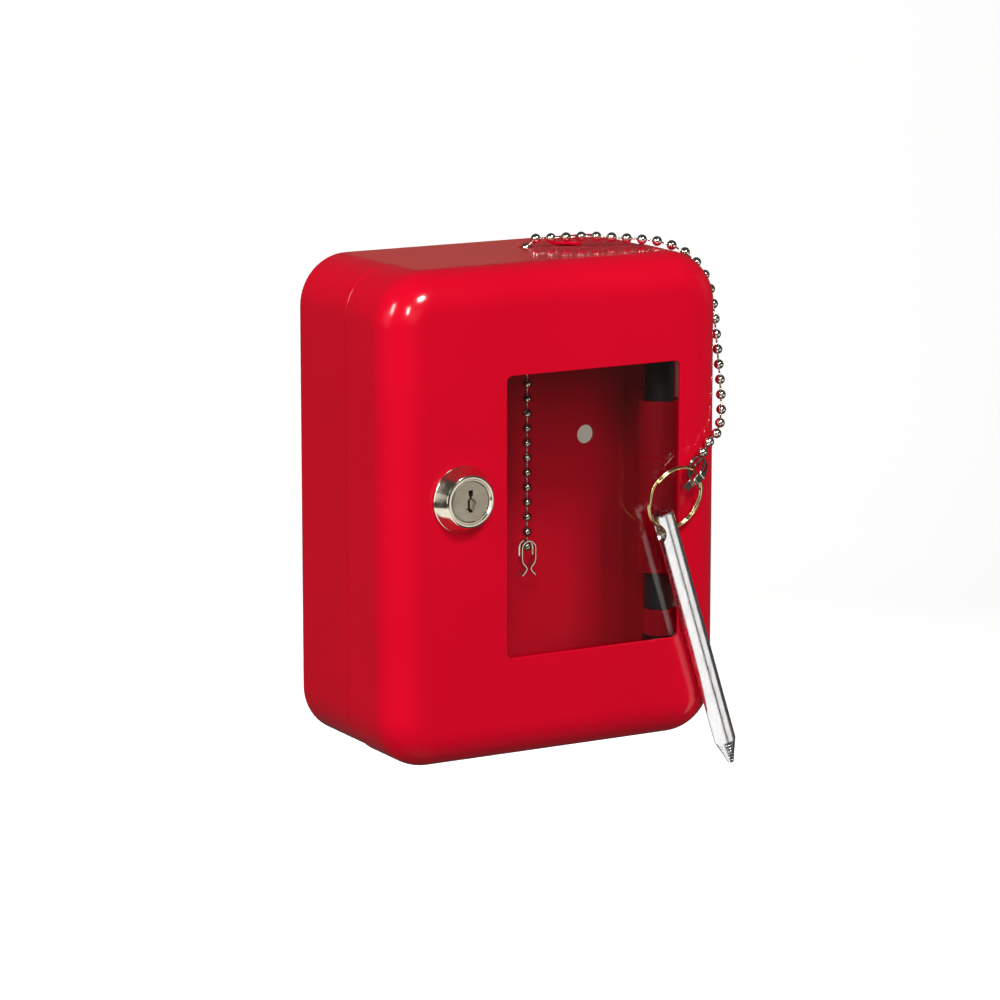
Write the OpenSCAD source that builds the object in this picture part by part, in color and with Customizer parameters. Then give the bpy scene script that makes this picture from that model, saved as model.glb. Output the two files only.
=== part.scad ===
// Emergency key box: a red pressed-steel wall cabinet with a glazed door, a cam
// lock, a rolled hinge, and a breaker pin that hangs on a ball chain.
// The row origin is the centre of the two wall-mounting holes, on the back face.
// +Z is up, +X is to the right seen from the front, and the door faces -Y.

/* [Cabinet] */
// Outer width of the door
case_w = 120; // [110:1:140]
// Outer height of the door
case_h = 155; // [145:1:180]
// Depth from the wall to the front of the door
case_d = 63; // [60:1:75]
// Depth of the rear half, where the door meets it
seam_d = 33; // [31:1:36]
// Thickness of the steel sheet
sheet = 1.2; // [1:0.1:1.5]
// Radius of the four corners, seen from the front
corner_r = 16.5; // [15:0.5:20]
// Radius of the rolled front edge of the door
front_r = 12; // [8:1:13]
// Radius of the rear edge of the cabinet
rear_r = 3; // [2:0.5:5]
// How far the door stands proud of the rear half all round
door_proud = 0.4; // [0.2:0.1:0.8]

/* [Window] */
// Width of the window
window_w = 62; // [50:1:62]
// Height of the window
window_h = 88.5; // [60:0.5:92]
// Distance of the window's centre from the middle of the door
window_x = 11.5; // [10:0.5:12]
// Corner radius of the window
window_r = 1.8; // [1:0.2:4]
// Thickness of the glass
glass_t = 2; // [1.5:0.1:2.2]

/* [Lock] */
// Distance of the lock from the middle of the door, to the left
lock_left = 35.3; // [34:0.1:36]
// Height of the lock above the middle of the door
lock_up = 7.7; // [0:0.1:15]
// Diameter of the lock's bezel at the door
bezel_d = 21; // [19:0.5:22]
// Diameter of the lock's front face
face_d = 15.4; // [14.6:0.2:17]
// Height of the bezel
bezel_h = 5.5; // [4:0.5:7]
// Diameter of the threaded barrel
barrel_d = 16; // [15.6:0.1:16.2]
// Diameter of the turning plug
plug_d = 13; // [12:0.1:13.4]

/* [Hinge] */
// Distance of the hinge axis from the middle of the cabinet
hinge_x = 53; // [52.6:0.1:53.2]
// Length of the long knuckle on the cabinet
long_knuckle = 56; // [50:1:60]
// Outer diameter of the long knuckle
long_knuckle_d = 14; // [13:0.2:14.2]
// Length of each short knuckle on the door
short_knuckle = 8.5; // [7:0.5:9]
// Outer diameter of the short knuckles
short_knuckle_d = 10; // [9.8:0.1:10.2]
// Diameter of the hinge pin
hinge_pin_d = 7.5; // [6.5:0.1:7.5]

/* [Chain and breaker] */
// Diameter of the chain's balls
ball_d = 3.2; // [2.4:0.1:3.2]
// Width of the sheet strip in the two chain clips
clip_w = 3; // [2.5:0.1:3.2]
// Diameter of the split ring along the middle of its wire
ring_d = 20.6; // [19:0.1:21]
// Diameter of the split ring's wire
wire_d = 0.85; // [0.8:0.05:1]
// Diameter of the breaker pin
breaker_d = 7; // [6:0.1:7]
// Length of the breaker pin
breaker_l = 88; // [80:1:90]

/* [Hidden] */
$fn = 72;
eps = 0.01;

red = [0.80, 0.0, 0.13];
steel = [0.72, 0.72, 0.70];
nickel = [0.86, 0.85, 0.82];
dark = [0.12, 0.11, 0.11];
brass = [0.78, 0.66, 0.32];
glass_tint = [0.75, 0.85, 0.85, 0.35];

corner_x = case_w / 2 - corner_r;
corner_z = case_h / 2 - corner_r;
seam_gap = 0.3;
body_r = corner_r - door_proud;
body_half_w = case_w / 2 - door_proud;
body_inner_x = body_half_w - sheet;
door_inner_x = case_w / 2 - sheet;
door_back = case_d - sheet;

// The wall holes lie this far above the middle of the cabinet, and this far apart.
mount_rise = 11;
mount_gap = 89;
mount_hole_d = 6.2;

// Holes in the top of the cabinet: one holds the chain, one parks the breaker pin.
chain_hole = [11, 21];
chain_hole_d = 4.8;
park_hole = [26.3, 20.1];
park_hole_d = 10.7;

glass_lap = 3.2;
glass_side_w = window_w + 2 * glass_lap;
glass_h = window_h + 10;
glass_gap = 0.2;
channel_t = 1;
channel_lap = 3.2;
channel_foot = 7;
channel_back = door_back - glass_gap - glass_t - 0.4 - channel_t;
glass_left = window_x - glass_side_w / 2;
glass_right = window_x + glass_side_w / 2;
stop_z = -36;
stop_w = 10;
stop_foot = 9;
stud_d = 3;
stop_nut_af = 5.5;
stop_nut_t = 2.4;

lock_clear = 0.05;
barrel_back = 43;
nut_t = 3;
nut_af = 19;
washer_t = 0.8;
cam_t = 2;
cam_w = 12;
cam_reach = 19.7;
cam_back = 40.8;
tail_d = 9;
tail_flat = 7;
cam_screw_d = 4;
cam_screw_head_d = 10;
cam_screw_head_t = 2.6;
strike_lip = 8.6;
strike_w = 21;
strike_from = 8;
strike_bend = 28;
strike_to = 31;

hinge_z = -1;
knuckle_gap = 12.5;
short_from = long_knuckle / 2 + knuckle_gap;
short_to = short_from + short_knuckle;
pin_clear = 0.05;
collar_d = 10.4;
collar_t = 2;
bush_l = 8;
bush_inset = 1.2;
spacer_d = 9.4;
relief = 0.6;

clip_t = 0.5;
clip_r = 2.7;
clip_h = 11.6;
clip_side = 7;
clip_neck = 9;
clip_neck_half = 0.9;
clip_foot_half = 2.4;
clip_hold = 5.9;
key_clip_top = -17.2;

// The ring hangs in the chain clip at ring_pivot, and the pin hangs in the ring.
ring_centre = [37.2, -69.2, 2.1];
ring_pivot = [44.5, -69.9, 9.3];
ring_lean = 13.5;
ring_yaw = 8;
breaker_eye = [35.6, -67, -7.8];
breaker_tilt = 17.5;
breaker_eye_d = 4.8;
breaker_eye_turn = 10;
breaker_eye_drop = 5.5;
breaker_cone = 8;
breaker_tip_d = 1.8;
cone_grooves = 6;
groove_d = 0.3;
clip_turn = [-43, -8.5, -61.5];

// Free stretch of the chain: along the top, over the corner and round the door's edge.
outer_route = [
    [14.2, -22.8, 79.3], [19.5, -25.7, 80.0], [25.0, -28.7, 80.4], [30.5, -31.7, 80.4],
    [36.0, -34.8, 80.1], [41.5, -37.8, 79.6], [46.5, -40.5, 79.1], [51.5, -43.2, 77.6],
    [55.9, -45.6, 74.7], [59.1, -47.8, 70.7], [61.1, -49.6, 65.7], [61.8, -51.2, 60.0],
    [61.8, -52.6, 54.0], [61.8, -53.6, 48.5], [61.8, -54.6, 43.0], [61.8, -55.6, 37.5],
    [61.8, -56.4, 32.0], [61.3, -57.6, 27.0], [59.4, -60.0, 22.8], [56.2, -62.9, 19.8],
    [53.0, -64.5, 18.2], [50.1, -65.7, 16.4], [47.6, -67.5, 13.4]];
// Hanging stretch inside the cabinet, from the hole down to the key clip.
inner_route = [for (z = [78.2 : -8 : 6.2]) [chain_hole[0], -chain_hole[1], z],
               [chain_hole[0], -chain_hole[1], 0], [chain_hole[0], -chain_hole[1], -8],
               [chain_hole[0], -chain_hole[1], key_clip_top - 0.3]];
chain_sides = 8;
side_hint = [0.5, 0.3, 0.8];

// ---- placing ----

// Row axes, measured from the middle of the cabinet.
module from_middle() {
    translate([0, 0, -mount_rise]) children();
}

// Drawing axes of the front view: X right, Y up, Z out of the wall.
module front_view() {
    from_middle() rotate([90, 0, 0]) children();
}

// A point of the front view that holds the lock.
module at_lock() {
    front_view() translate([-lock_left, lock_up, 0]) children();
}

// The hinge axis, with Z up from the middle of the long knuckle.
module at_hinge() {
    from_middle() translate([hinge_x, -seam_d, hinge_z]) children();
}

// ---- shared shapes ----

module tube(outer_d, inner_d, length) {
    difference() {
        cylinder(d = outer_d, h = length);
        translate([0, 0, -eps]) cylinder(d = inner_d, h = length + 2 * eps);
    }
}

// Sweeps a wall profile round the cabinet. The profile's X is the distance out from
// the corner centres, and its Y is the depth from the wall.
module round_the_case() {
    for (corner = [[1, 1, 0], [-1, 1, 90], [-1, -1, 180], [1, -1, 270]])
        translate([corner[0] * corner_x, corner[1] * corner_z, 0])
            rotate([0, 0, corner[2]])
                rotate_extrude(angle = 90) children();
    for (side = [0, 180]) {
        rotate([0, 0, side]) translate([corner_x, 0, 0]) rotate([90, 0, 0])
            linear_extrude(2 * corner_z, center = true) children();
        rotate([0, 0, side + 90]) translate([corner_z, 0, 0]) rotate([90, 0, 0])
            linear_extrude(2 * corner_x, center = true) children();
    }
}

// A quarter of a bent sheet, with its centre at the origin.
module bend(radius) {
    intersection() {
        difference() {
            circle(radius);
            circle(radius - sheet);
        }
        square(radius + 1);
    }
}

module body_profile() {
    square([body_r - rear_r, sheet]);
    translate([body_r - rear_r, rear_r]) rotate(-90) bend(rear_r);
    translate([body_r - sheet, rear_r]) square([sheet, seam_d - rear_r]);
}

module door_profile() {
    wall_from = seam_d + seam_gap;
    wall_to = case_d - front_r;
    translate([corner_r - sheet, wall_from]) square([sheet, wall_to - wall_from]);
    translate([corner_r - front_r, wall_to]) bend(front_r);
    translate([0, door_back]) square([corner_r - front_r, sheet]);
}

// A straight strip of thickness t between two points of an outline.
module strip(from, to, t) {
    along = (to - from) / norm(to - from);
    across = [-along[1], along[0]] * t / 2;
    polygon([from - across, to - across, to + across, from + across]);
}

// Spring clip of a ball chain: an arch, two sides, a neck and two spread feet.
module spring_clip() {
    mid = clip_r - clip_t / 2;
    rotate([90, 0, 0]) linear_extrude(clip_w, center = true) {
        translate([0, -clip_r]) intersection() {
            difference() {
                circle(clip_r);
                circle(clip_r - clip_t);
            }
            translate([-clip_r, 0]) square([2 * clip_r, clip_r]);
        }
        for (side = [-1, 1]) {
            strip([side * mid, -clip_r], [side * mid, -clip_side], clip_t);
            strip([side * mid, -clip_side + 0.1], [side * clip_neck_half, -clip_neck], clip_t);
            strip([side * clip_neck_half, -clip_neck + 0.1],
                  [side * clip_foot_half, -clip_h + clip_t / 2], clip_t);
        }
    }
}

function unit(v) = v / norm(v);

function tangent(route, i) =
    unit(route[min(i + 1, len(route) - 1)] - route[max(i - 1, 0)]);

function ring_points(route, i, radius) =
    let (along = tangent(route, i),
         across = unit(cross(along, side_hint)),
         up = cross(along, across))
    [for (k = [0 : chain_sides - 1])
        let (a = 360 * k / chain_sides)
        route[i] + radius * (cos(a) * across + sin(a) * up)];

// A plain tube along a route, one ring of points at each of its points.
module chain_tube(route) {
    n = chain_sides;
    last = (len(route) - 1) * n;
    points = [for (i = [0 : len(route) - 1]) each ring_points(route, i, ball_d / 2)];
    sides = [for (i = [0 : len(route) - 2], k = [0 : n - 1])
        let (a = i * n + k, b = i * n + (k + 1) % n)
        each [[a, a + n, b + n], [a, b + n, b]]];
    first_cap = [for (k = [0 : n - 1]) k];
    last_cap = [for (k = [n - 1 : -1 : 0]) last + k];
    polyhedron(points, concat(sides, [first_cap, last_cap]));
}

// ---- cabinet ----

module body_shell() {
    color(red) front_view() difference() {
        union() {
            round_the_case() body_profile();
            translate([-corner_x, -corner_z, 0]) cube([2 * corner_x, 2 * corner_z, sheet]);
        }
        for (side = [-1, 1])
            translate([side * mount_gap / 2, mount_rise, -1]) cylinder(d = mount_hole_d, h = 4);
        translate([chain_hole[0], case_h / 2, chain_hole[1]]) rotate([90, 0, 0])
            cylinder(d = chain_hole_d, h = 6, center = true);
        translate([park_hole[0], case_h / 2, park_hole[1]]) rotate([90, 0, 0])
            cylinder(d = park_hole_d, h = 6, center = true);
        long_knuckle_notch();
        short_knuckle_notches();
    }
}

// Room in the right wall for the long knuckle.
module long_knuckle_notch() {
    depth = long_knuckle_d / 2 + 0.3;
    translate([hinge_x + 3, hinge_z - long_knuckle / 2 - 0.3, seam_d - depth])
        cube([10, long_knuckle + 0.6, depth + 1]);
}

// Room in the right wall for the door's knuckle leaves as the door swings.
module short_knuckle_notches() {
    depth = door_inner_x - hinge_x + 0.9;
    for (side = [-1, 1])
        translate([hinge_x + 3, hinge_z + side * (short_from + short_to) / 2, seam_d - depth])
            translate([0, -short_knuckle / 2 - 0.5, 0])
                cube([10, short_knuckle + 1, depth + 1]);
}

module door_shell() {
    color(red) front_view() difference() {
        union() {
            round_the_case() door_profile();
            translate([-corner_x, -corner_z, door_back])
                cube([2 * corner_x, 2 * corner_z, sheet]);
        }
        window_hole();
        translate([-lock_left, lock_up, door_back - 1]) barrel_section(barrel_d + 0.2, sheet + 2);
        hinge_relief();
    }
}

module window_hole() {
    half_w = window_w / 2 - window_r;
    half_h = window_h / 2 - window_r;
    translate([window_x, 0, door_back - 1]) linear_extrude(sheet + 2) {
        square([window_w, 2 * half_h], center = true);
        square([2 * half_w, window_h], center = true);
        for (x = [-half_w, half_w], y = [-half_h, half_h])
            translate([x, y]) circle(window_r);
    }
}

// The door's right wall stops short of the seam, so that it clears the rear half as it
// turns about the hinge axis. The cut follows the door's own corners.
module hinge_relief() {
    arc_d = seam_d + (case_w / 2 - hinge_x) - corner_r + relief;
    translate([hinge_x, 0, 0]) rotate([90, 0, 90]) linear_extrude(10) {
        translate([-corner_z, arc_d]) square([2 * corner_z, corner_r]);
        for (side = [-1, 1]) translate([side * corner_z, arc_d]) circle(corner_r);
    }
}

// ---- window ----

module window_glass() {
    color(glass_tint) front_view()
        translate([glass_left, -glass_h / 2, door_back - glass_gap - glass_t])
            cube([glass_side_w, glass_h, glass_t]);
}

// Z-shaped strip that holds the top edge of the glass, with a stop at its right end.
module glass_channel() {
    web_y = glass_h / 2 + 0.3;
    lip_y = glass_h / 2 - channel_lap;
    length = glass_right - glass_left - 3;
    translate([glass_left + 3, web_y, door_back - channel_t])
        cube([length, channel_foot, channel_t]);
    translate([glass_left + 3, web_y, channel_back])
        cube([length, channel_t, door_back - channel_back]);
    translate([glass_left + 3, lip_y, channel_back])
        cube([length, web_y + channel_t - lip_y, channel_t]);
    translate([glass_right + 0.2, lip_y, channel_back])
        cube([channel_t, web_y + channel_t - lip_y, door_back - channel_back]);
    translate([glass_right - eps, lip_y, channel_back])
        cube([0.2 + 2 * eps, web_y + channel_t - lip_y, channel_t]);
}

module glass_channel_top() {
    color(steel) front_view() glass_channel();
}

module glass_channel_bottom() {
    color(steel) front_view() mirror([0, 1, 0]) glass_channel();
}

// Small angle that keeps the glass from sliding out to the left.
module glass_stop() {
    web_x = glass_left - 0.3 - channel_t;
    color(steel) front_view() difference() {
        union() {
            translate([web_x - stop_foot, stop_z - stop_w / 2, door_back - channel_t])
                cube([stop_foot + channel_t, stop_w, channel_t]);
            translate([web_x, stop_z - stop_w / 2, channel_back])
                cube([channel_t, stop_w, door_back - channel_back]);
            translate([web_x, stop_z - stop_w / 2, channel_back])
                cube([channel_lap, stop_w, channel_t]);
        }
        translate([web_x - stop_foot / 2, stop_z, door_back - 3]) cylinder(d = stud_d + 0.3, h = 5);
    }
}

module at_stop_stud() {
    front_view() translate([glass_left - 0.3 - channel_t - stop_foot / 2, stop_z, 0]) children();
}

module glass_stop_stud() {
    color(steel) at_stop_stud() translate([0, 0, door_back - 6]) cylinder(d = stud_d, h = 6);
}

module glass_stop_nut() {
    color(steel) at_stop_stud() translate([0, 0, door_back - channel_t - stop_nut_t]) difference() {
        cylinder(d = stop_nut_af / cos(30), h = stop_nut_t, $fn = 6);
        translate([0, 0, -1]) cylinder(d = stud_d + 2 * lock_clear, h = 5);
    }
}

// ---- lock ----

// Round section with two flats, as the barrel and its hole have.
module barrel_section(d, length) {
    intersection() {
        cylinder(d = d, h = length);
        translate([-d, -0.43 * d, 0]) cube([2 * d, 0.86 * d, length]);
    }
}

module lock_housing() {
    color(nickel) at_lock() difference() {
        union() {
            translate([0, 0, barrel_back]) barrel_section(barrel_d, case_d - barrel_back + eps);
            translate([0, 0, case_d]) cylinder(d = bezel_d, h = 0.8);
            translate([0, 0, case_d + 0.8 - eps])
                cylinder(d1 = bezel_d, d2 = face_d, h = bezel_h - 0.8 + eps);
        }
        translate([0, 0, barrel_back - 1])
            cylinder(d = plug_d + 2 * lock_clear, h = case_d + bezel_h - barrel_back + 2);
    }
}

module lock_washer() {
    color(steel) at_lock() translate([0, 0, door_back - washer_t])
        tube(barrel_d + 5, barrel_d + 0.3, washer_t);
}

module lock_nut() {
    color(steel) at_lock() translate([0, 0, door_back - washer_t - nut_t]) difference() {
        cylinder(d = nut_af / cos(30), h = nut_t, $fn = 6);
        translate([0, 0, -1]) cylinder(d = barrel_d + 0.1, h = nut_t + 2);
    }
}

// Plug with a keyway in its face and a flatted tail for the cam.
module lock_plug() {
    shoulder = cam_back + cam_t + 0.2;
    face = case_d + bezel_h - 0.3;
    color(nickel) at_lock() difference() {
        union() {
            translate([0, 0, shoulder]) cylinder(d = plug_d, h = face - shoulder);
            translate([0, 0, cam_back]) tail(tail_d, tail_flat, shoulder - cam_back + eps);
        }
        translate([-0.9, -4.2, face - 9]) cube([1.8, 8.4, 10]);
        translate([0, 0, cam_back - 1]) cylinder(d = cam_screw_d, h = 8);
    }
}

module tail(d, flat, length) {
    intersection() {
        cylinder(d = d, h = length);
        translate([-flat / 2, -d, 0]) cube([flat, 2 * d, length]);
    }
}

// The cam points down when the lock is open, and turns to the left behind the strike.
module lock_cam() {
    color(steel) at_lock() translate([0, 0, cam_back]) difference() {
        union() {
            cylinder(d = cam_w + 2, h = cam_t);
            translate([-cam_w / 2, -cam_reach, 0]) cube([cam_w, cam_reach, cam_t]);
        }
        translate([0, 0, -1]) tail(tail_d + 0.1, tail_flat + 0.1, cam_t + 2);
    }
}

module cam_screw() {
    color(steel) at_lock() difference() {
        union() {
            translate([0, 0, cam_back - cam_screw_head_t])
                cylinder(d = cam_screw_head_d, h = cam_screw_head_t);
            translate([0, 0, cam_back - eps])
                cylinder(d = cam_screw_d - 2 * lock_clear, h = 6.5);
        }
        for (turn = [0, 90])
            rotate([0, 0, turn]) translate([-2.5, -0.6, cam_back - 3]) cube([5, 1.2, 1.8]);
    }
}

// Bracket on the cabinet's left wall that the cam catches behind.
module strike() {
    step = 0.8;
    reach_x = -body_inner_x + step;
    lip_d = cam_back + cam_t + 0.5;
    color(red) front_view() translate([0, lock_up, 0]) {
        translate([-body_inner_x, -strike_w / 2, strike_from])
            cube([sheet, strike_w, strike_to - strike_from]);
        translate([reach_x, -strike_w / 2, strike_bend])
            cube([sheet, strike_w, lip_d + sheet - strike_bend]);
        translate([reach_x, -strike_w / 2, lip_d]) cube([strike_lip, strike_w, sheet]);
    }
}

// ---- hinge ----

// Rolled knuckle with the leaf that is welded inside the cabinet's right wall.
module hinge_leaf() {
    leaf_x = body_inner_x - hinge_x - sheet;
    leaf_l = 17;
    color(red) at_hinge() {
        translate([0, 0, -long_knuckle / 2])
            tube(long_knuckle_d, long_knuckle_d - 2 * sheet, long_knuckle);
        translate([leaf_x, 4, -long_knuckle / 2]) cube([sheet, leaf_l, long_knuckle]);
    }
}

module bush(from) {
    translate([0, 0, from]) tube(long_knuckle_d - 2 * sheet, hinge_pin_d, bush_l);
}

module hinge_bush_upper() {
    color(dark) at_hinge() bush(long_knuckle / 2 - bush_inset - bush_l);
}

module hinge_bush_lower() {
    color(dark) at_hinge() bush(-long_knuckle / 2 + bush_inset);
}

// Sleeve that keeps a door knuckle at its height.
module spacer(from, to) {
    translate([0, 0, from]) tube(spacer_d, hinge_pin_d + 0.2, to - from);
}

module hinge_spacer_upper() {
    color(dark) at_hinge() spacer(long_knuckle / 2 - bush_inset, short_from - 0.2);
}

module hinge_spacer_lower() {
    color(dark) at_hinge() spacer(-short_from + 0.2, -long_knuckle / 2 + bush_inset);
}

module hinge_pin() {
    groove = short_to + 0.3;
    color(dark) at_hinge() difference() {
        union() {
            translate([0, 0, -short_to - 0.3 - collar_t]) cylinder(d = collar_d, h = collar_t);
            translate([0, 0, -short_to - 0.3 - eps])
                cylinder(d = hinge_pin_d, h = 2 * short_to + 3);
        }
        translate([0, 0, groove]) tube(hinge_pin_d + 2, hinge_pin_d - 1.2, 0.9);
    }
}

// Open retaining ring in the groove at the top of the hinge pin.
module hinge_clip() {
    color(steel) at_hinge() translate([0, 0, short_to + 0.35]) difference() {
        tube(collar_d, hinge_pin_d - 1.2, 0.8);
        translate([-collar_d, -2.2, -1]) cube([collar_d, 4.4, 3]);
    }
}

// Rolled knuckle with the leaf that is welded inside the door's right wall.
module door_knuckle(from) {
    leaf_x = door_inner_x - hinge_x - sheet;
    leaf_l = 15;
    translate([0, 0, from]) difference() {
        union() {
            cylinder(d = short_knuckle_d, h = short_knuckle);
            translate([leaf_x, -leaf_l, 0]) cube([sheet, leaf_l + 1, short_knuckle]);
        }
        translate([0, 0, -1]) cylinder(d = hinge_pin_d + 2 * pin_clear, h = short_knuckle + 2);
    }
}

module door_knuckle_upper() {
    color(red) at_hinge() door_knuckle(short_from);
}

module door_knuckle_lower() {
    color(red) at_hinge() door_knuckle(-short_to);
}

// ---- chains, ring and breaker ----

module inner_chain() {
    color(steel) from_middle() chain_tube(inner_route);
}

module key_clip() {
    color(steel) from_middle() translate([chain_hole[0], -chain_hole[1], key_clip_top])
        spring_clip();
}

module outer_chain() {
    color(steel) from_middle() chain_tube(outer_route);
}

module chain_clip() {
    color(steel) from_middle() translate(ring_pivot) rotate(clip_turn)
        translate([0, 0, clip_hold]) spring_clip();
}

// Two turns of wire side by side.
module split_ring() {
    color(brass) from_middle() translate(ring_centre) rotate([90 + ring_lean, 0, ring_yaw])
        for (side = [-1, 1])
            translate([0, 0, side * 0.48 * wire_d]) rotate_extrude()
                translate([ring_d / 2, 0]) circle(d = wire_d);
}

module breaker_pin() {
    straight = breaker_l - breaker_cone;
    color(steel) from_middle() translate(breaker_eye) rotate([0, -breaker_tilt, 0]) difference() {
        union() {
            translate([0, 0, breaker_eye_drop - straight]) cylinder(d = breaker_d, h = straight - 0.4);
            translate([0, 0, breaker_eye_drop - 0.4 - eps])
                cylinder(d1 = breaker_d, d2 = breaker_d - 0.8, h = 0.4 + eps);
            translate([0, 0, breaker_eye_drop - breaker_l])
                cylinder(d1 = breaker_tip_d, d2 = breaker_d, h = breaker_cone + eps);
        }
        rotate([0, 90, breaker_eye_turn]) {
            cylinder(d = breaker_eye_d, h = 10, center = true);
            for (side = [0, 180])
                rotate([side, 0, 0]) translate([0, 0, 2.4])
                    cylinder(d1 = breaker_eye_d, d2 = breaker_eye_d + 3, h = 1.5);
        }
        for (i = [1 : cone_grooves]) {
            along = i / (cone_grooves + 1);
            r = breaker_tip_d / 2 + (breaker_d - breaker_tip_d) / 2 * along;
            translate([0, 0, breaker_eye_drop - breaker_l + breaker_cone * along])
                rotate_extrude() translate([r, 0]) circle(d = groove_d);
        }
    }
}

body_shell();
door_shell();
window_glass();
glass_channel_top();
glass_channel_bottom();
glass_stop();
glass_stop_stud();
glass_stop_nut();
lock_housing();
lock_washer();
lock_nut();
lock_plug();
lock_cam();
cam_screw();
strike();
hinge_leaf();
hinge_bush_upper();
hinge_bush_lower();
hinge_spacer_upper();
hinge_spacer_lower();
hinge_pin();
hinge_clip();
door_knuckle_upper();
door_knuckle_lower();
inner_chain();
key_clip();
outer_chain();
chain_clip();
split_ring();
breaker_pin();
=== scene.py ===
import math
import bpy
import bmesh
import numpy as np
from mathutils import Matrix, Vector


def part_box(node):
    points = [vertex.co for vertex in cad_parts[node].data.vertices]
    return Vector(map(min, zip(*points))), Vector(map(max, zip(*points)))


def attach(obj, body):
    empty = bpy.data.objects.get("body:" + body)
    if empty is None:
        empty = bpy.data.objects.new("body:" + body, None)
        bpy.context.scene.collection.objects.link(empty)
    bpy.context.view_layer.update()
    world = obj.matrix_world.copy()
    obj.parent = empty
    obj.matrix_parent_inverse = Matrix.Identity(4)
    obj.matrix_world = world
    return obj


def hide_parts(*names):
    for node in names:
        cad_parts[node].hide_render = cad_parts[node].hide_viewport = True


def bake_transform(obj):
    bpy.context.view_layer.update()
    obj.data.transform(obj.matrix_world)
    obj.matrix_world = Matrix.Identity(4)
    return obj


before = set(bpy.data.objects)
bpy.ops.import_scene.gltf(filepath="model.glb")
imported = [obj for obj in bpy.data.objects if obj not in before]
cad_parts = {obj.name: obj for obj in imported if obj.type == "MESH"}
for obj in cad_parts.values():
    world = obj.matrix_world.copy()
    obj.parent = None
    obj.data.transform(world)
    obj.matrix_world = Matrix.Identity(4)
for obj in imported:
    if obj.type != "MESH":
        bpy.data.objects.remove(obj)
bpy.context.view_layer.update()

# Lengths below are in millimetres from the middle of the cabinet, as in the part's
# source. to_row() and settle() turn them into metres from the wall holes.
MOUNT_RISE = 11.0
TO_ROW = Matrix.Scale(0.001, 4) @ Matrix.Translation((0, 0, -MOUNT_RISE))

# Sizes of the case, from the frame
door_lo, door_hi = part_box("door_shell")
CASE_W = (door_hi.x - door_lo.x) * 1000
CASE_H = (door_hi.z - door_lo.z) * 1000
CASE_D = -door_lo.y * 1000
SEAM_D = -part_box("body_shell")[0].y * 1000

# Sizes of the case that its box doesn't tell. PROUD is how far the door's walls stand
# out past the rear half's, and PAST_SIDE is a place beyond the case's right side.
SHEET = 1.2
CORNER_R = 16.5
FRONT_R = 12.0
REAR_R = 3.0
PROUD = 0.4
SEAM_GAP = 0.3
PAST_SIDE = 64
CORNER_X = CASE_W / 2 - CORNER_R
CORNER_Z = CASE_H / 2 - CORNER_R

# The window, the holes, the lock, the hinge's axis and the notches for its knuckles
WINDOW_W, WINDOW_H, WINDOW_X, WINDOW_R = 62.0, 88.5, 11.5, 1.8
WALL_HOLE_X, WALL_HOLE_R = 44.5, 3.1
CHAIN_HOLE, CHAIN_HOLE_R = (11.0, -21.0), 2.4
PARK_HOLE, PARK_HOLE_R = (26.3, -20.1), 5.35
LOCK_X, LOCK_Z = -35.3, 7.7
BARREL_R, BARREL_BACK = 8.0, 43.0
PLUG_R, TAIL_R, TAIL_BACK = 6.5, 4.3, 40.8
HINGE_X = 53
NOTCH_X, NOTCH_FRONT = 56, -34
LONG_NOTCH_BACK, LONG_NOTCH_Z = -25.7, (-29.3, 27.3)
SHORT_NOTCH_BACK, SHORT_NOTCH_HALF, SHORT_NOTCH_Z = -26.3, 4.75, (-45.75, 43.75)


# ---------------------------------------------------------------- camera

# From the left of the front and a little above it, through a long lens. It looks down
# and to the right by these angles in degrees.
LOOK_DOWN, LOOK_RIGHT = 11.23, 29.48
camera_data = bpy.data.cameras.new("camera")
camera_data.sensor_width = 36
camera_data.lens = 153.2
camera_data.clip_start = 0.05
camera = bpy.data.objects.new("camera", camera_data)
camera.location = (-0.6526, -1.1782, 0.2495)
camera.rotation_euler = (math.radians(90 - LOOK_DOWN), 0, math.radians(-LOOK_RIGHT))
bpy.context.collection.objects.link(camera)
bpy.context.scene.camera = camera

# ---------------------------------------------------------------- material helpers


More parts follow.
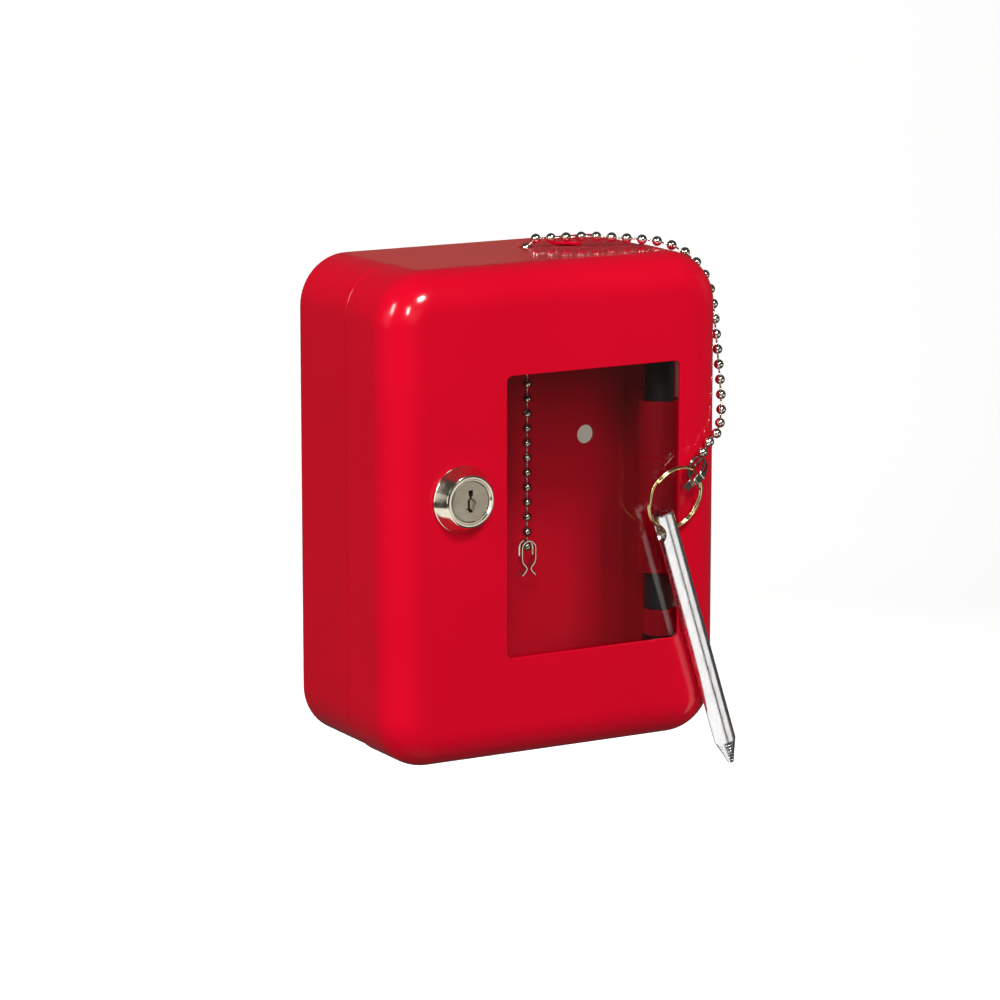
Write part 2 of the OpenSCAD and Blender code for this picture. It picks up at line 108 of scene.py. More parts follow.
class Nodes:
    """A short way to write a node tree."""

    def __init__(self, name):
        self.mat = bpy.data.materials.new(name)
        self.mat.use_nodes = True
        self.tree = self.mat.node_tree
        self.shader = self.tree.nodes["Principled BSDF"]
        self.out = self.tree.nodes["Material Output"]
        self.coords = self.add("ShaderNodeTexCoord").outputs["Object"]

    def add(self, kind, **settings):
        node = self.tree.nodes.new(kind)
        for key, value in settings.items():
            if hasattr(node, key):
                setattr(node, key, value)
            else:
                node.inputs[key.replace("_", " ")].default_value = value
        return node

    def link(self, a, b):
        self.tree.links.new(a, b)

    def stretched(self, scale):
        mapping = self.add("ShaderNodeMapping")
        mapping.inputs["Scale"].default_value = scale
        self.link(self.coords, mapping.inputs["Vector"])
        return mapping.outputs["Vector"]

    def noise(self, scale, detail=3.0, rough=0.5, vector=None):
        node = self.add("ShaderNodeTexNoise", Scale=scale, Detail=detail, Roughness=rough)
        self.link(vector or self.coords, node.inputs["Vector"])
        return node.outputs["Fac"]

    def ramp(self, source, stops):
        node = self.add("ShaderNodeValToRGB")
        while len(node.color_ramp.elements) < len(stops):
            node.color_ramp.elements.new(0.5)
        for element, (at, colour) in zip(node.color_ramp.elements, stops):
            element.position = at
            element.color = colour if len(colour) == 4 else (*colour, 1)
        self.link(source, node.inputs["Fac"])
        return node.outputs["Color"]

    def span(self, source, low, high, frm=0.3, to=0.7):
        node = self.add("ShaderNodeMapRange")
        self.link(source, node.inputs["Value"])
        node.inputs["From Min"].default_value = frm
        node.inputs["From Max"].default_value = to
        node.inputs["To Min"].default_value = low
        node.inputs["To Max"].default_value = high
        return node.outputs["Result"]

    def bump(self, height, strength, distance):
        node = self.add("ShaderNodeBump", Strength=strength, Distance=distance)
        self.link(height, node.inputs["Height"])
        return node.outputs["Normal"]

    def maths(self, operation, a, b):
        node = self.add("ShaderNodeMath", operation=operation)
        for socket, value in zip(node.inputs, (a, b)):
            if isinstance(value, (int, float)):
                socket.default_value = value
            else:
                self.link(value, socket)
        return node.outputs[0]

    def set(self, **values):
        for key, value in values.items():
            socket = self.shader.inputs[key.replace("_", " ")]
            if isinstance(value, bpy.types.NodeSocket):
                self.link(value, socket)
            else:
                socket.default_value = value
        return self


def powder_coat(name, light, deep):
    """Gloss red paint: slow colour drift, a faint orange-peel skin and a few dull rubs."""
    n = Nodes(name)
    drift = n.noise(18, 2)
    rubs = n.span(n.noise(60, 6, 0.7, n.stretched((1, 1, 0.35))), 0, 1, 0.62, 0.74)
    peel = n.noise(420, 2, 0.5)
    n.set(
        Base_Color=n.ramp(drift, [(0.3, deep), (0.7, light)]),
        Roughness=n.maths("ADD", n.span(drift, 0.13, 0.19), n.maths("MULTIPLY", rubs, 0.10)),
        Normal=n.bump(peel, 0.06, 0.0004),
        IOR=1.45,
        Coat_Weight=0.12,
        Coat_Roughness=0.06,
    )
    return n.mat


def plated(name, light, deep, low, high, grain=(1, 1, 1), grain_scale=300, depth=0.00003):
    """Plated or bare metal with soft stains, varied gloss and a fine grain."""
    n = Nodes(name)
    stains = n.noise(140, 4, 0.6)
    fine = n.noise(grain_scale, 3, 0.6, n.stretched(grain))
    n.set(
        Base_Color=n.ramp(stains, [(0.35, deep), (0.65, light)]),
        Metallic=1.0,
        Roughness=n.span(fine, low, high),
        Normal=n.bump(fine, 0.25, depth),
    )
    return n.mat


def moulded(name, colour, rough):
    """Moulded plastic with a fine grained skin and a slight mottling."""
    n = Nodes(name)
    skin = n.noise(900, 3)
    pale = tuple(min(1, c * 1.6 + 0.01) for c in colour)
    n.set(
        Base_Color=n.ramp(n.noise(90, 3), [(0.3, colour), (0.7, pale)]),
        Roughness=n.span(skin, rough, rough + 0.12),
        Normal=n.bump(skin, 0.3, 0.00005),
    )
    return n.mat


def pane_glass(name):
    """Clear glass with a faint green edge; lamps shine through it into the cabinet."""
    n = Nodes(name)
    haze = n.noise(35, 4, 0.6)
    n.set(
        Base_Color=(0.96, 0.985, 0.97, 1),
        Roughness=n.span(haze, 0.0, 0.012),
        IOR=1.5,
        Transmission_Weight=1.0,
    )
    ray = n.add("ShaderNodeLightPath").outputs
    clear = n.add("ShaderNodeBsdfTransparent", Color=(0.92, 0.96, 0.94, 1))
    blend = n.add("ShaderNodeMixShader")
    lit = n.maths("MAXIMUM", ray["Is Shadow Ray"], ray["Is Diffuse Ray"])
    mirrored = n.maths("SUBTRACT", ray["Is Glossy Ray"], ray["Is Transmission Ray"])
    n.link(n.maths("MAXIMUM", lit, mirrored), blend.inputs[0])
    n.link(n.shader.outputs[0], blend.inputs[1])
    n.link(clear.outputs[0], blend.inputs[2])
    n.link(blend.outputs[0], n.out.inputs["Surface"])
    return n.mat


RED_DOOR = powder_coat("red_door_coat", (0.60, 0.001, 0.017), (0.55, 0.001, 0.015))
RED_BODY = powder_coat("red_body_coat", (0.60, 0.001, 0.017), (0.54, 0.001, 0.014))
NICKEL = plated("nickel_plate", (0.84, 0.78, 0.66), (0.74, 0.68, 0.56), 0.08, 0.2)
NICKEL_FACE = plated(
    "nickel_face", (0.50, 0.44, 0.35), (0.41, 0.36, 0.28), 0.3, 0.48, (1, 1, 6), 220
)
CHAIN_NICKEL = plated("chain_nickel", (0.86, 0.81, 0.72), (0.70, 0.64, 0.54), 0.07, 0.2)
BRASS = plated("brass_plate", (0.86, 0.68, 0.33), (0.70, 0.52, 0.24), 0.1, 0.25)
TURNED = plated(
    "turned_metal", (0.92, 0.92, 0.93), (0.84, 0.84, 0.86), 0.14, 0.34, (1, 1, 0.12), 900, 0.00002
)
ZINC = plated("zinc_plate", (0.70, 0.70, 0.68), (0.56, 0.56, 0.53), 0.25, 0.45)
DARK_STEEL = plated("oiled_steel", (0.14, 0.12, 0.11), (0.06, 0.05, 0.05), 0.3, 0.5)
BLACK = moulded("black_plastic", (0.012, 0.012, 0.013), 0.45)
GLASS = pane_glass("pane_glass")

# ---------------------------------------------------------------- mesh helpers


def make(name, points, faces):
    """A mesh object in millimetres, to be cut and settled later."""
    mesh = bpy.data.meshes.new(name)
    mesh.from_pydata([tuple(map(float, p)) for p in points], [], faces)
    mesh.validate()
    obj = bpy.data.objects.new(name, mesh)
    bpy.context.collection.objects.link(obj)
    tidy_normals(mesh)
    return obj


def tidy_normals(mesh):
    """Welds points that meet and turns every face outwards."""
    work = bmesh.new()
    work.from_mesh(mesh)
    bmesh.ops.remove_doubles(work, verts=work.verts, dist=1e-5)
    bmesh.ops.recalc_face_normals(work, faces=work.faces)
    work.to_mesh(mesh)
    work.free()


def loft(name, loops, closed=False):
    """Joins loops of equally many points into a skin, capped unless it closes on itself."""
    n = len(loops[0])
    points = [p for loop in loops for p in loop]
    faces = []
    spans = len(loops) if closed else len(loops) - 1
    for i in range(spans):
        a, b = i * n, ((i + 1) % len(loops)) * n
        for k in range(n):
            q = (k + 1) % n
            faces.append((a + k, a + q, b + q, b + k))
    if not closed:
        faces.append(tuple(range(n)))
        faces.append(tuple(range(len(points) - n, len(points))))
    return make(name, points, faces)


def cut(obj, *cutters):
    """Takes the cutters away from obj for good."""
    for cutter in cutters:
        modifier = obj.modifiers.new("cut", "BOOLEAN")
        modifier.operation = "DIFFERENCE"
        modifier.solver = "EXACT"
        modifier.object = cutter
    bpy.context.view_layer.update()
    graph = bpy.context.evaluated_depsgraph_get()
    mesh = bpy.data.meshes.new_from_object(obj.evaluated_get(graph))
    obj.modifiers.clear()
    obj.data = mesh
    for cutter in cutters:
        bpy.data.objects.remove(cutter, do_unlink=True)
    return obj


def settle(obj, material, slot, body, *nodes, place=None, sharp=35):
    """Puts a finished millimetre mesh into the row frame, shaded, painted and riding."""
    obj.data.transform(TO_ROW @ (place or Matrix.Identity(4)))
    obj.data.materials.clear()
    obj.data.materials.append(material)
    obj.data.polygons.foreach_set("use_smooth", [True] * len(obj.data.polygons))
    obj.data.set_sharp_from_angle(angle=math.radians(sharp))
    weighted = obj.modifiers.new("weighted", "WEIGHTED_NORMAL")
    weighted.keep_sharp = True
    if body:
        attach(obj, body)
    if nodes:
        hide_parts(*nodes)
    return obj


def arc(cx, cy, r, start, end, steps):
    """Points of a circle's arc, from one angle in degrees to another."""
    angles = np.radians(np.linspace(start, end, steps + 1))
    return [(cx + r * math.cos(a), cy + r * math.sin(a)) for a in angles]


def frame_loop(reach, depth, cx=CORNER_X, cz=CORNER_Z, x0=0.0, steps=14):
    """A rounded rectangle, reach out from its corner centres, at a depth from the wall."""
    loop = []
    for sx, sz, start in ((1, 1, 0), (-1, 1, 90), (-1, -1, 180), (1, -1, 270)):
        for x, z in arc(sx * cx, sz * cz, reach, start, start + 90, steps):
            loop.append((x0 + x, -depth, z))
    return loop


def edge_easing(r, steps=5):
    """Depth into a sheet and widening of a hole there, for a rounded hole edge."""
    return [(r - r * math.cos(a), r - r * math.sin(a)) for a in np.linspace(0, math.pi / 2, steps)]


def hole_levels(front, back, r):
    """Levels and widenings of a cutter for a hole with both its edges rounded."""
    levels = [(front - 1, r)]
    levels += [(front + t, w) for t, w in edge_easing(r)]
    levels += [(back - t, w) for t, w in reversed(edge_easing(r))]
    levels += [(back + 1, r)]
    return levels


def round_hole(radius, at, axis, front, back, r=0.35, sides=64):
    """Cutter for a round hole. axis is 1 for a hole along Y and 2 for one along Z."""
    loops = []
    for level, wide in hole_levels(front, back, r):
        loop = []
        for a in np.linspace(0, 2 * math.pi, sides, endpoint=False):
            u, v = at[0] + (radius + wide) * math.cos(a), at[1] + (radius + wide) * math.sin(a)
            loop.append((u, level, v) if axis == 1 else (u, v, level))
        loops.append(loop)
    return loft("cutter", loops)


def block(lo, hi):
    """Cutter for a square-edged notch or slot."""
    (a, b, c), (d, e, f) = lo, hi
    return loft("cutter", [[(a, b, z), (d, b, z), (d, e, z), (a, e, z)] for z in (c, f)])


def lathe(name, profile, sides=96, closed=False):
    """Turns (radius, height) points about Z."""
    turn = np.linspace(0, 2 * math.pi, sides, endpoint=False)
    loops = [[(r * math.cos(a), r * math.sin(a), h) for a in turn] for r, h in profile]
    return loft(name, loops, closed=closed)


def smooth_path(points, step):
    """Catmull-Rom curve through the points, resampled at an even step."""
    p = np.array(points, float)
    p = np.vstack([2 * p[0] - p[1], p, 2 * p[-1] - p[-2]])
    fine = []
    for a, b, c, d in zip(p, p[1:], p[2:], p[3:]):
        for t in np.linspace(0, 1, 24, endpoint=False):
            second = (2 * a - 5 * b + 4 * c - d) * t**2
            third = (3 * b - a - 3 * c + d) * t**3
            fine.append(0.5 * (2 * b + (c - a) * t + second + third))
    fine.append(p[-2])
    fine = np.array(fine)
    run = np.concatenate([[0], np.cumsum(np.linalg.norm(np.diff(fine, axis=0), axis=1))])
    at = np.append(np.arange(0, run[-1], step), run[-1])
    return np.stack([np.interp(at, run, fine[:, k]) for k in range(3)], 1), run[-1]


def basis(axis):
    """A turn that takes Z to the axis."""
    z = Vector(axis).normalized()
    x = z.cross(Vector((0.31, 0.87, 0.12))).normalized()
    return Matrix((x, z.cross(x), z)).transposed()


# ---------------------------------------------------------------- ball chains

BALL_R = 1.6
PITCH = 4.8
INNER_TOP = 76.0
OUTER_PATH = [
    (11.0, -21.0, 76.8), (11.3, -21.2, 78.4), (12.6, -21.9, 79.5), (15.0, -23.2, 79.9),
    (19.5, -25.7, 80.0), (25.0, -28.7, 80.4), (30.5, -31.7, 80.4), (36.0, -34.8, 80.1),
    (41.5, -37.8, 79.6), (46.5, -40.5, 79.1), (51.5, -43.2, 77.6), (55.9, -45.6, 74.7),
    (59.1, -47.8, 70.7), (61.1, -49.6, 65.7), (61.8, -51.2, 60.0), (61.8, -52.6, 54.0),
    (61.8, -53.6, 48.5), (61.8, -54.6, 43.0), (61.8, -55.6, 37.5), (61.8, -56.4, 32.0),
    (61.3, -57.6, 27.0), (59.4, -60.0, 22.8), (56.2, -62.9, 19.8), (53.0, -64.5, 18.2),
    (50.1, -65.7, 16.4), (47.7, -67.4, 13.6), (46.6, -68.3, 12.1),
]
RING_PIVOT = Vector((44.5, -69.9, 9.3))
KEY_CLIP_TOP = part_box("key_clip")[1].z * 1000 + MOUNT_RISE
KEY_BALL = KEY_CLIP_TOP - 2.2


def ball_chain(name, points):
    """Hollow balls on short links along a path, the first of them at its start."""
    fine, length = smooth_path(points, 0.4)
    run = np.linspace(0, length, len(fine))
    verts, faces = [], []

    def at(s):
        return Vector([np.interp(s, run, fine[:, k]) for k in range(3)])

    def turned(centre, axis, profile, sides):
        """Adds a small turned shape at centre, along axis."""
        turn = basis(axis)
        base = len(verts)
        for r, h in profile:
            for a in np.linspace(0, 2 * math.pi, sides, endpoint=False):
                verts.append(centre + turn @ Vector((r * math.cos(a), r * math.sin(a), h)))
        for i in range(len(profile) - 1):
            for k in range(sides):
                q = (k + 1) % sides
                a, b = base + i * sides, base + (i + 1) * sides
                faces.append((a + k, a + q, b + q, b + k))

    mouth = 24
    lip = BALL_R * math.cos(math.radians(mouth)) - 0.25
    skin = np.radians(np.linspace(mouth, 180 - mouth, 15))
    ball = [(BALL_R * math.sin(a), -BALL_R * math.cos(a)) for a in skin]
    ball = [(0.3, -lip)] + ball + [(0.3, lip)]
    spots = list(np.arange(0.0, length + 0.01, PITCH))
    for s in spots:
        centre = at(s)
        turned(centre, at(min(s + 0.6, length)) - at(max(s - 0.6, 0)), ball, 22)
    link = [(0.02, -1.62), (0.34, -1.6), (0.36, -1.3), (0.3, -1.2), (0.3, 1.2), (0.36, 1.3)]
    link += [(0.34, 1.6), (0.02, 1.62)]
    ends = [(at(a), at(b)) for a, b in zip(spots, spots[1:])]
    last = at(spots[-1])
    if length - spots[-1] > 3:
        ends.append((last, last + (at(length) - last).normalized() * PITCH))
    for p, q in ends:
        turned((p + q) / 2, q - p, link, 10)
    mesh = bpy.data.meshes.new(name)
    mesh.from_pydata([tuple(v) for v in verts], [], faces)
    obj = bpy.data.objects.new(name, mesh)
    bpy.context.collection.objects.link(obj)
    tidy_normals(mesh)
    return obj, fine, length


outer_chain, outer_fine, outer_length = ball_chain("outer_ball_chain", OUTER_PATH)
inner_path = [(CHAIN_HOLE[0], CHAIN_HOLE[1], z) for z in np.linspace(KEY_BALL, INNER_TOP, 20)]
inner_chain, inner_fine, inner_length = ball_chain("inner_ball_chain", inner_path)


def clip_profile():
    """Middle line of a chain clip, from one foot over the arch to the other."""
    half = [(2.45, -11.35), (1.7, -10.7), (0.8, -9.5), (0.95, -8.7), (2.0, -7.4), (2.42, -6.2)]
    half += [(2.45, -4.5), (2.45, -2.9)]
    top = arc(0, -2.7, 2.45, 10, 170, 14)
    return half + top + [(-x, z) for x, z in reversed(half)]


def chain_clip(name, place):
    """A bent nickel strip with a slot in its arch that the chain's link sits in."""
    line, _ = smooth_path([(x, 0, z) for x, z in clip_profile()], 0.3)
    across = np.gradient(line, axis=0)
    side = np.stack([-across[:, 2], across[:, 0] * 0, across[:, 0]], 1)
    side /= np.linalg.norm(side, axis=1)[:, None]
    half_w, half_t, ease = 1.5, 0.25, 0.12
    edge = [(-half_w, -half_t + ease), (-half_w + ease, -half_t)]
    edge += [(half_w - ease, -half_t), (half_w, -half_t + ease)]
    edge += [(-u, -v) for u, v in edge]
    loops = []
    for p, s in zip(line, side):
        loops.append([tuple(p + s * v + np.array([0, u, 0])) for u, v in edge])
    obj = loft(name, loops)
    cut(obj, block((-4, -0.55, -5.2), (4, 0.55, 1)))
    return obj


KEY_CLIP_PLACE = Matrix.Translation((CHAIN_HOLE[0], CHAIN_HOLE[1], KEY_CLIP_TOP))
CLIP_TURN = (
    Matrix.Rotation(math.radians(-61.5), 4, "Z")
    @ Matrix.Rotation(math.radians(-8.5), 4, "Y")
    @ Matrix.Rotation(math.radians(-43), 4, "X")
)
CLIP_PLACE = Matrix.Translation(RING_PIVOT) @ CLIP_TURN @ Matrix.Translation((0, 0, 5.9))
key_clip = chain_clip("key_clip_strip", KEY_CLIP_PLACE)
settle(key_clip, CHAIN_NICKEL, "nickel_clip", "cabinet", "key_clip", place=KEY_CLIP_PLACE)
ring_clip = chain_clip("ring_clip_strip", CLIP_PLACE)
settle(ring_clip, CHAIN_NICKEL, "nickel_clip", "door", "chain_clip", place=CLIP_PLACE)

# ---------------------------------------------------------------- split ring

RING_R = 10.3
WIRE_R = 0.425
RING_CENTRE = (37.2, -69.2, 2.1)
RING_GAP = 0.84
RING_PLACE = (
    Matrix.Translation(RING_CENTRE)
    @ Matrix.Rotation(math.radians(8), 4, "Z")
    @ Matrix.Rotation(math.radians(90 + 13.5), 4, "X")
)


def split_ring():
    """One wire wound twice round, with the step between its turns at the left."""
    step_at, step_over, end_gap = 150, 32, 4
    angles = np.arange(step_at + step_over + end_gap, step_at + 720 - end_gap + 1, 3)
    loops = []
    for a in angles:
        share = min(max((a - (step_at + 360)) / step_over, 0), 1)
        side = (-1 + 2 * share * share * (3 - 2 * share)) * RING_GAP / 2
        t = math.radians(a)
        out = Vector((math.cos(t), math.sin(t), 0))
        centre = out * RING_R + Vector((0, 0, side))
        near_end = min(a - angles[0], angles[-1] - a)
        r = WIRE_R * (0.8 if near_end < 1 else 1)
        loops.append(
            [
                centre + out * (r * math.cos(b)) + Vector((0, 0, r * math.sin(b)))
                for b in np.linspace(0, 2 * math.pi, 16, endpoint=False)
            ]
        )
    return loft("split_ring_wire", loops)


ring = split_ring()
settle(ring, BRASS, "brass_ring", "breaker", "split_ring", place=RING_PLACE, sharp=50)

# ---------------------------------------------------------------- cords settled

settle(outer_chain, CHAIN_NICKEL, "nickel_chain", None, "outer_chain", sharp=60)
settle(inner_chain, CHAIN_NICKEL, "nickel_chain", "cabinet", "inner_chain", sharp=60)
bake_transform(outer_chain)

# ---------------------------------------------------------------- shells


def pressed_shell(name, section):
    """Sweeps a closed sheet section round the case; both ends are filled by a plate."""
    return loft(name, [frame_loop(reach, depth) for reach, depth in section])


def rim(outer, inner, depth, inward, r=1.0, back=0.15):
    """The sheet's edge, well rounded outside. inward is +1 if the sheet lies deeper than depth."""
    line = [(x, r - y) for x, y in arc(outer - r, 0, r, 0, 90, 8)]
    line += [(x, back - y) for x, y in arc(inner + back, 0, back, 90, 180, 3)]
    return [(x, depth + inward * y) for x, y in line]


def door():
    """Pressed door: rolled front edge, window, lock hole and a relief along the hinge."""
    wall_to = CASE_D - FRONT_R
    wall_from = SEAM_D + SEAM_GAP
    section = [(3.0, CASE_D)]
    section += arc(CORNER_R - FRONT_R, wall_to, FRONT_R, 90, 0, 18)
    section += [(CORNER_R, wall_to - 6), (CORNER_R, wall_from + 1.6)]
    section += rim(CORNER_R, CORNER_R - SHEET, wall_from, 1)
    section += [(CORNER_R - SHEET, wall_from + 1.2), (CORNER_R - SHEET, wall_to - 6)]
    section += arc(CORNER_R - FRONT_R, wall_to, FRONT_R - SHEET, 0, 90, 14)
    section += [(3.0, CASE_D - SHEET)]
    obj = pressed_shell("pressed_door", section)
    half_w, half_h = WINDOW_W / 2 - WINDOW_R, WINDOW_H / 2 - WINDOW_R
    window = [
        frame_loop(WINDOW_R + wide, level, half_w, half_h, WINDOW_X, steps=8)
        for level, wide in hole_levels(CASE_D - SHEET, CASE_D, 0.35)
    ]
    lock_at = (LOCK_X, LOCK_Z)
    lock_hole = round_hole(BARREL_R + 0.1, lock_at, 1, -CASE_D, -CASE_D + SHEET, 0.15)
    arc_d = SEAM_D + (CASE_W / 2 - HINGE_X) - CORNER_R + 0.6
    outline = [(z, d) for z, d in arc(CORNER_Z, arc_d, CORNER_R, 0, 90, 16)]
    outline += [(z, d) for z, d in arc(-CORNER_Z, arc_d, CORNER_R, 90, 180, 16)]
    outline += [(-CORNER_Z - CORNER_R, 20), (CORNER_Z + CORNER_R, 20)]
    relief = loft("cutter", [[(x, -d, z) for z, d in outline] for x in (HINGE_X, PAST_SIDE)])
    return cut(obj, loft("cutter", window), lock_hole, relief)


def body():
    """Pressed rear half: wall holes, two holes in the top and notches for the hinge."""
    reach = CORNER_R - PROUD
    section = [(10.0, 0.0)]
    section += arc(reach - REAR_R, REAR_R, REAR_R, 270, 360, 8)
    section += [(reach, 6), (reach, SEAM_D - 1.6)]
    section += rim(reach, reach - SHEET, SEAM_D, -1)
    section += [(reach - SHEET, SEAM_D - 1.2), (reach - SHEET, 6)]
    section += arc(reach - REAR_R, REAR_R, REAR_R - SHEET, 360, 270, 6)
    section += [(10.0, SHEET)]
    obj = pressed_shell("pressed_body", section)
    top = CASE_H / 2 - PROUD
    cutters = []
    for x in (-WALL_HOLE_X, WALL_HOLE_X):
        cutters.append(round_hole(WALL_HOLE_R, (x, MOUNT_RISE), 1, -SHEET, 0, 0.3, 48))
    cutters.append(round_hole(CHAIN_HOLE_R, CHAIN_HOLE, 2, top - SHEET, top, 0.3, 48))
    cutters.append(round_hole(PARK_HOLE_R, PARK_HOLE, 2, top - SHEET, top, 0.3, 64))
    notches = [(LONG_NOTCH_BACK, *LONG_NOTCH_Z)]
    for z in SHORT_NOTCH_Z:
        notches.append((SHORT_NOTCH_BACK, z - SHORT_NOTCH_HALF, z + SHORT_NOTCH_HALF))
    for back, low, high in notches:
        cutters.append(block((NOTCH_X, NOTCH_FRONT, low), (PAST_SIDE, back, high)))
    return cut(obj, *cutters)


settle(door(), RED_DOOR, "red_door", "door", "door_shell", sharp=32)
settle(body(), RED_BODY, "red_body", "cabinet", "body_shell", sharp=32)

# ---------------------------------------------------------------- lock

LOCK_PLACE = Matrix.Translation((LOCK_X, 0, LOCK_Z)) @ Matrix.Rotation(math.pi / 2, 4, "X")


def lock_housing():
    """Turned bezel with a foot, a cone, a narrow land round the plug, and its barrel."""
    d, r, bore, back = CASE_D, BARREL_R, PLUG_R + 0.05, BARREL_BACK
    profile = [(r, back + 0.2), (r, d), (10.1, d), (10.5, d + 0.35), (10.45, d + 0.8)]
    profile += [(10.2, d + 1.05), (8.35, d + 4.9), (8.15, d + 5.25), (7.8, d + 5.45)]
    profile += [(7.5, d + 5.5), (7.2, d + 5.45), (7.05, d + 5.2), (6.9, d + 5.0)]
    profile += [(bore + 0.13, d + 5.0), (bore, d + 4.85), (bore, back + 0.2)]
    profile += [(bore + 0.2, back), (r - 0.2, back)]
    return lathe("lock_bezel", profile, 96, closed=True)


def lock_plug():
    """Plug with an eased rim and a stepped keyway, and its round tail."""
    face = CASE_D + 5.2
    profile = [(0.02, face), (5.9, face), (6.2, face - 0.08), (6.42, face - 0.3)]
    profile += [(PLUG_R, face - 0.6), (PLUG_R, BARREL_BACK + 0.1), (PLUG_R - 0.1, BARREL_BACK)]
    profile += [(TAIL_R, BARREL_BACK), (TAIL_R, TAIL_BACK), (2.0, TAIL_BACK), (0.02, TAIL_BACK)]
    obj = lathe("plug_barrel", profile, 72)
    way = [(-0.65, -3.3), (0.65, -3.3), (0.65, -2.6), (0.3, -2.3), (0.3, 1.6), (0.75, 1.9)]
    way += [(0.75, 3.6), (-0.75, 3.6), (-0.75, 2.2), (-0.45, 1.9), (-0.45, -2.0), (-0.65, -2.3)]
    keyway = loft("cutter", [[(x, y, h) for x, y in way] for h in (face - 9, face + 1)])
    cone = [(0.0, face - 1.1), (1.5, face - 1.1), (2.0, face), (2.9, face + 1), (0.0, face + 1)]
    well = lathe("cutter", cone, 40)
    well.data.transform(Matrix.Translation((0, -0.9, 0)))
    return cut(obj, keyway, well)


lock_bezel = settle(
    lock_housing(), NICKEL, "nickel_lock", "door", "lock_housing", place=LOCK_PLACE, sharp=28
)
lock_face = settle(
    lock_plug(), NICKEL_FACE, "nickel_plug", "lock_core", "lock_plug", place=LOCK_PLACE, sharp=30
)

# ---------------------------------------------------------------- CAD nodes that stay

for node, material in {
    "window_glass": GLASS,
    "glass_channel_top": ZINC, "glass_channel_bottom": ZINC, "glass_stop": ZINC,
    "glass_stop_stud": ZINC, "glass_stop_nut": ZINC, "lock_washer": ZINC, "lock_nut": ZINC,
    "lock_cam": ZINC, "cam_screw": ZINC, "hinge_clip": ZINC, "strike": RED_BODY,
    "hinge_leaf": RED_BODY, "door_knuckle_upper": RED_DOOR, "door_knuckle_lower": RED_DOOR,
    "hinge_bush_upper": BLACK, "hinge_bush_lower": BLACK, "hinge_spacer_upper": BLACK,
    "hinge_spacer_lower": BLACK, "hinge_pin": DARK_STEEL, "breaker_pin": TURNED,
}.items():
    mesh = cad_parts[node].data
    mesh.materials.clear()
    mesh.materials.append(material)

# ---------------------------------------------------------------- stage and light


def studio():
    """A pale floor that runs up into a backdrop, well clear of the hanging object."""
    line = [(-5.0, 0.0), (1.6, 0.0)] + arc(1.6, 0.8, 0.8, 270, 360, 12) + [(2.4, 5.0)]
    floor_z = -0.55
    points, faces = [], []
    for y, z in line:
        points += [(-6.0, y, floor_z + z), (6.0, y, floor_z + z)]
    for i in range(len(line) - 1):
        faces.append((2 * i, 2 * i + 1, 2 * i + 3, 2 * i + 2))
    mesh = bpy.data.meshes.new("studio_floor")
    mesh.from_pydata(points, [], faces)
    mesh.polygons.foreach_set("use_smooth", [True] * len(mesh.polygons))
    obj = bpy.data.objects.new("studio_floor", mesh)
    bpy.context.collection.objects.link(obj)
    n = Nodes("pale_paper")
    n.set(
        Base_Color=n.ramp(n.noise(3, 2), [(0.3, (0.88, 0.88, 0.88)), (0.7, (0.9, 0.9, 0.9))]),
        Roughness=0.9,
        Emission_Color=(1, 1, 1, 1),
        Emission_Strength=0.75,
    )
    n.shader.inputs["Specular IOR Level"].default_value = 0.0
    mesh.materials.append(n.mat)
    obj.visible_glossy = False
    obj.visible_transmission = False
    obj.visible_diffuse = False
    obj.visible_shadow = False


def glowing_wall_card():
    """A small card close behind the right wall hole whose glow is painted light: the lit grey wall
    that shows through the glass there.
    """
    x, y, z, half = 0.056, 0.02, -0.004, 0.015
    points = [(x + u * half, y, z + v * half) for u, v in ((-1, -1), (1, -1), (1, 1), (-1, 1))]
    mesh = bpy.data.meshes.new("glowing_wall_card")
    mesh.from_pydata(points, [], [(0, 1, 2, 3)])
    obj = bpy.data.objects.new("glowing_wall_card", mesh)
    bpy.context.collection.objects.link(obj)
    n = Nodes("painted_wall_glow")
    n.set(
        Base_Color=(0.02, 0.02, 0.02, 1),
        # painted light: the card glows a warm grey in place of the lit wall behind the hole
        Emission_Color=(1.0, 0.86, 0.72, 1),
        Emission_Strength=n.span(n.noise(40, 2), 0.29, 0.32),
    )
    mesh.materials.append(n.mat)
    obj.visible_camera = False
    obj.visible_glossy = False
    obj.visible_diffuse = False
    obj.visible_shadow = False


# What the cards for metal shine on
METALS = bpy.data.collections.new("metals")
for obj in (outer_chain, inner_chain, key_clip, ring_clip, ring, lock_bezel, lock_face):
    METALS.objects.link(obj)
METALS.objects.link(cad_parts["breaker_pin"])


def softbox(
    name, location, size, power, colour=(1, 1, 1), aim=(0, -0.03, -0.01), only=None, seen=True
):
    """A lamp panel. only is the collection that it shines on; an unseen one leaves no glint."""
    data = bpy.data.lights.new(name, "AREA")
    data.shape = "RECTANGLE"
    data.size, data.size_y = size
    data.energy = power
    data.color = colour
    obj = bpy.data.objects.new(name, data)
    obj.location = location
    obj.rotation_euler = (Vector(aim) - Vector(location)).to_track_quat("-Z", "Y").to_euler()
    obj.visible_camera = False
    obj.visible_glossy = seen
    if only is not None:
        obj.light_linking.receiver_collection = only
    bpy.context.collection.objects.link(obj)


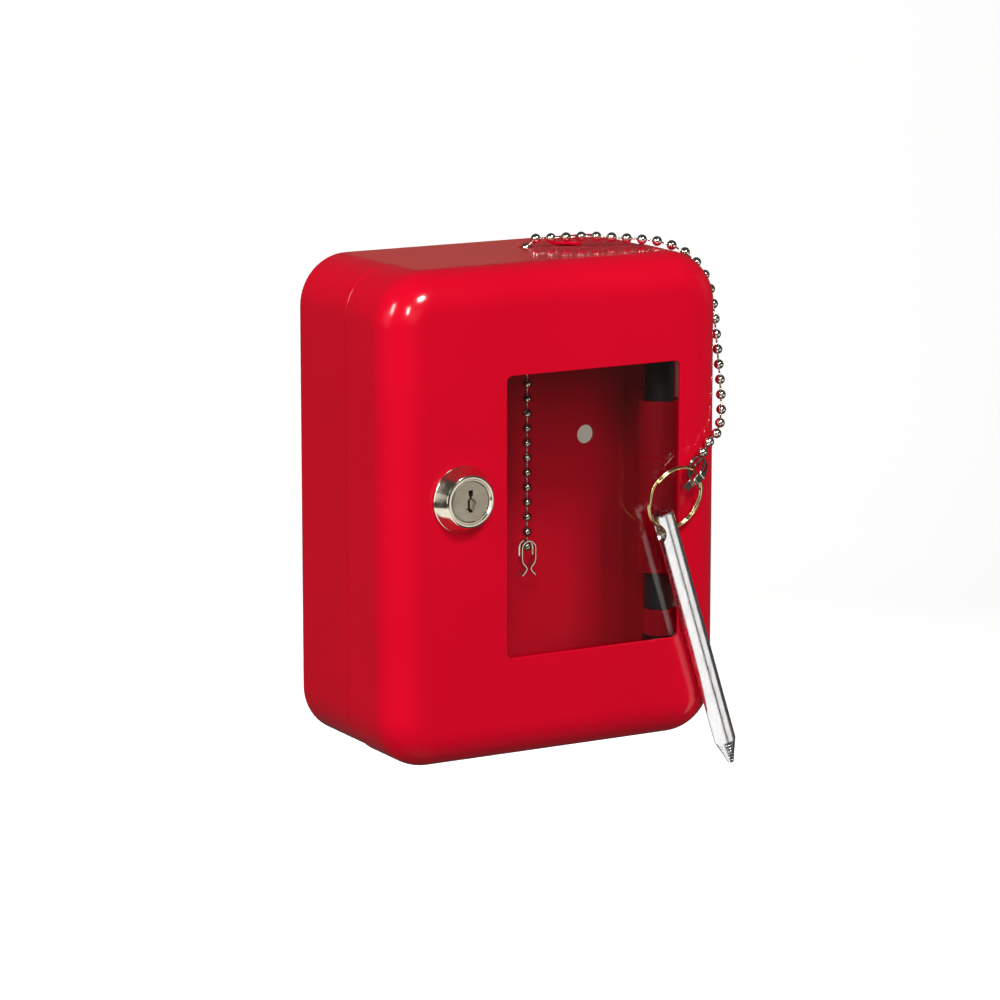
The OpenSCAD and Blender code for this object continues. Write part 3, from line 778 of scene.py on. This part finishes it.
studio()
glowing_wall_card()
softbox("key_left_pane", (-0.10, -1.25, 1.15), (0.13, 0.30), 8.5)
softbox("key_right_pane", (0.07, -1.25, 1.15), (0.13, 0.30), 8.5)
softbox("front_left", (-0.86, -1.48, 0.80), (0.16, 0.42), 9)
softbox("left_high", (-1.36, -0.28, 0.80), (0.18, 0.5), 7)
softbox("fill_front", (-0.30, -1.70, 0.42), (0.7, 0.5), 9, (1, 0.98, 0.96), seen=False)
softbox("fill_left", (-1.65, -0.05, 0.4), (0.7, 0.7), 14, (1, 0.98, 0.96), seen=False)
softbox("fill_right", (1.7, -0.2, 0.3), (0.7, 0.7), 9, (1, 0.98, 0.96), seen=False)
softbox("fill_back", (0.7, 1.6, 0.6), (0.8, 0.8), 13, (1, 0.98, 0.96), seen=False)
softbox("fill_below", (0.1, -0.3, -1.4), (0.9, 0.9), 4, (1, 0.98, 0.96), seen=False)
softbox("rear_card", (0.59, 1.478, 0.284), (0.5, 0.3), 0.075, (1.0, 0.52, 0.34))
softbox(
    "metal_below", (-0.57, -0.3, -0.5), (1.1, 2.4), 8.5, (1, 0.99, 0.97),
    aim=(-0.57, -0.2999, 1.0), only=METALS,
)
softbox("metal_left", (-1.5, -0.35, 0.1), (0.9, 0.7), 2.5, (1, 0.98, 0.94), only=METALS)
softbox("metal_right", (1.0, -1.3, -0.33), (1.5, 0.8), 3.5, (1, 0.98, 0.95), only=METALS)


def pale_world():
    """White where the camera looks past everything, and a dim warm grey as light."""
    world = bpy.data.worlds.new("studio_world")
    world.use_nodes = True
    bpy.context.scene.world = world
    tree = world.node_tree
    ray = tree.nodes.new("ShaderNodeLightPath")
    mix = tree.nodes.new("ShaderNodeMix")
    mix.data_type = "RGBA"
    mix.inputs[6].default_value = (0.055, 0.052, 0.05, 1)
    mix.inputs[7].default_value = (1, 1, 1, 1)
    tree.links.new(ray.outputs["Is Camera Ray"], mix.inputs[0])
    tree.links.new(mix.outputs[2], tree.nodes["Background"].inputs["Color"])


pale_world()
bpy.context.scene.view_settings.view_transform = "Standard"
